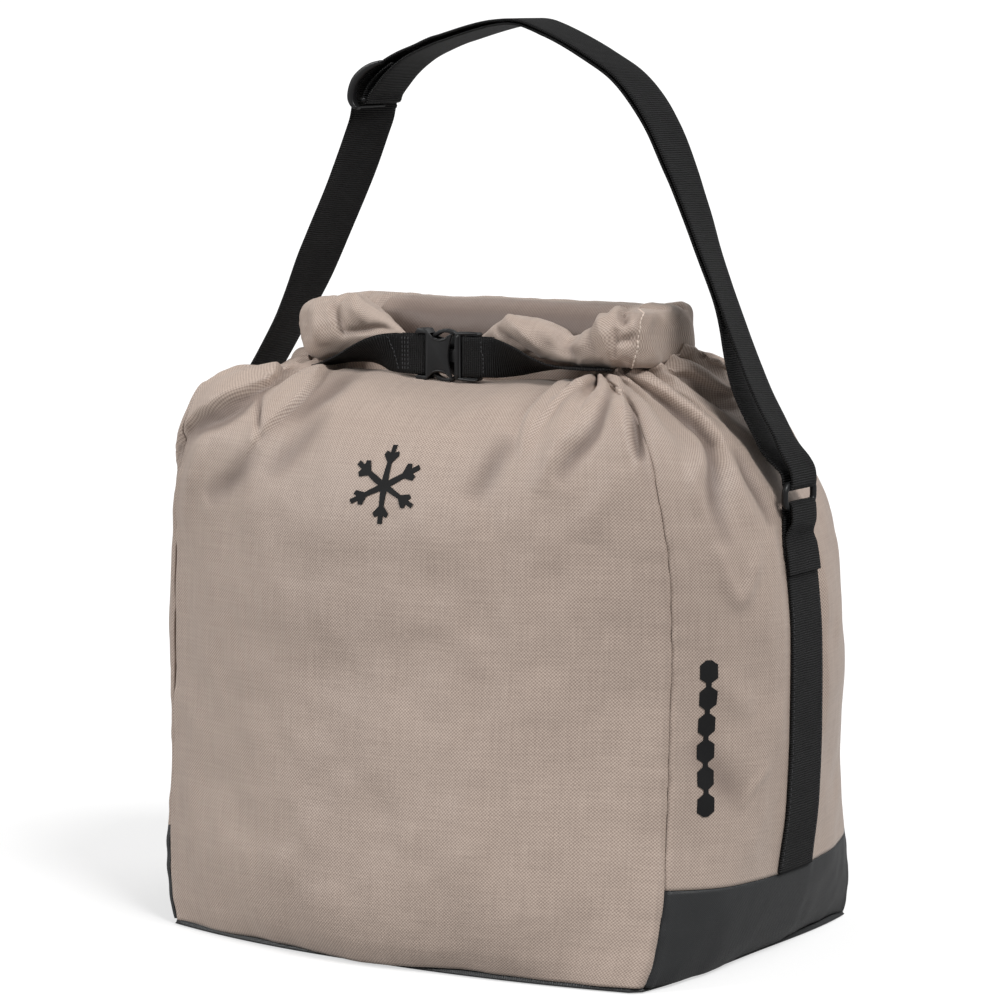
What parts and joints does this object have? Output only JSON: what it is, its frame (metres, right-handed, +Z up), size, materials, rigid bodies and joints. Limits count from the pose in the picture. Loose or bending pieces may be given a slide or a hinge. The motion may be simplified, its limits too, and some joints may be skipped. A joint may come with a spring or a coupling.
{
  "type": "ski boot bag",
  "caption": "Soft roll-top ski boot bag with a coated base, a buckled rolled closure, side anchor webbing and an adjustable shoulder strap for carrying boots.",
  "frame": {"origin": "middle of the underside of the bottom panel, on the floor", "axes": "+Z up, +X to the right seen from the front (the buckle side), +Y towards the back"},
  "size_m": [0.444, 0.3192, 0.5748],
  "materials": {
    "woven_fabric": "satin",
    "coated_fabric": "satin",
    "webbing": "matte",
    "moulded_plastic": "satin",
    "board": "matte",
    "print": "matte"
  },
  "bodies": {
    "bag": {"front_panel": "woven_fabric", "back_panel": "woven_fabric", "right_side_panel": "woven_fabric", "left_side_panel": "woven_fabric", "right_base_panel": "coated_fabric", "left_base_panel": "coated_fabric", "bottom_panel": "coated_fabric", "base_board": "board", "right_side_webbing": "webbing", "left_side_webbing": "webbing", "front_emblem": "print", "side_emblem": "print"},
    "collar": {"collar": "woven_fabric"},
    "roll_top": {"rolled_mouth": "woven_fabric", "mouth_stiffener": "board", "left_rolled_end": "woven_fabric", "right_rolled_end": "woven_fabric", "left_closure_webbing": "webbing", "right_closure_webbing": "webbing", "buckle_socket": "moulded_plastic"},
    "buckle_plug": {"buckle_plug": "moulded_plastic"},
    "upper_latch_arm": {"upper_latch_arm": "moulded_plastic"},
    "lower_latch_arm": {"lower_latch_arm": "moulded_plastic"},
    "right_anchor": {"right_anchor_loop": "webbing"},
    "left_anchor": {"left_anchor_loop": "webbing"},
    "right_ring": {"right_ring": "moulded_plastic"},
    "left_ring": {"left_ring": "moulded_plastic"},
    "shoulder_strap": {"shoulder_webbing": "webbing"},
    "strap_slider": {"strap_slider": "moulded_plastic", "slider_webbing_end": "webbing"}
  },
  "joints": [
    {"name": "strap_swing", "type": "hinge", "parent": "bag", "child": "right_anchor", "pos_m": [0.2175, 0, 0.26], "axis": [1, 0, 0], "range_deg": [-25, 25]},
    {"name": "left_anchor_swing", "type": "hinge", "parent": "bag", "child": "left_anchor", "pos_m": [-0.2175, 0, 0.26], "axis": [1, 0, 0], "range_deg": [-25, 25]},
    {"name": "ring_tilt", "type": "hinge", "parent": "right_anchor", "child": "right_ring", "pos_m": [0.2175, 0, 0.276], "axis": [0, 1, 0], "range_deg": [-6, 6]},
    {"name": "strap_level", "type": "hinge", "parent": "right_ring", "child": "shoulder_strap", "pos_m": [0.2175, 0, 0.292], "axis": [0, 1, 0], "range_deg": [-6, 6]},
    {"name": "left_ring_tilt", "type": "hinge", "parent": "shoulder_strap", "child": "left_ring", "pos_m": [-0.2175, 0, 0.292], "axis": [0, 1, 0], "range_deg": [-6, 6]},
    {"name": "slider_slide", "type": "slide", "parent": "shoulder_strap", "child": "strap_slider", "axis": [-0.437, 0, -0.8994], "range_m": [0, 0.05]},
    {"name": "collar_lift", "type": "slide", "parent": "bag", "child": "collar", "axis": [0, 0, 1], "range_m": [0, 0.03]},
    {"name": "roll_tilt", "type": "hinge", "parent": "collar", "child": "roll_top", "pos_m": [0, 0, 0.352], "axis": [1, 0, 0], "range_deg": [-10, 2]},
    {"name": "buckle_release", "type": "slide", "parent": "roll_top", "child": "buckle_plug", "axis": [1, 0, 0], "range_m": [0, 0.03], "deforming": ["right_closure_webbing"]},
    {"name": "upper_latch_squeeze", "type": "hinge", "parent": "buckle_plug", "child": "upper_latch_arm", "pos_m": [0.0007, -0.055, 0.38], "axis": [0, -1, 0], "range_deg": [0, 8], "stiffness_Nm_per_rad": 0.05},
    {"name": "lower_latch_squeeze", "type": "hinge", "parent": "buckle_plug", "child": "lower_latch_arm", "pos_m": [0.0007, -0.055, 0.354], "axis": [0, 1, 0], "range_deg": [0, 8], "stiffness_Nm_per_rad": 0.05}
  ],
  "couplings": [
    {"joint": "left_anchor_swing", "follows": "strap_swing", "ratio": 1},
    {"joint": "strap_level", "follows": "ring_tilt", "ratio": -1},
    {"joint": "left_ring_tilt", "follows": "ring_tilt", "ratio": 1},
    {"joint": "lower_latch_squeeze", "follows": "upper_latch_squeeze", "ratio": 1}
  ]
}
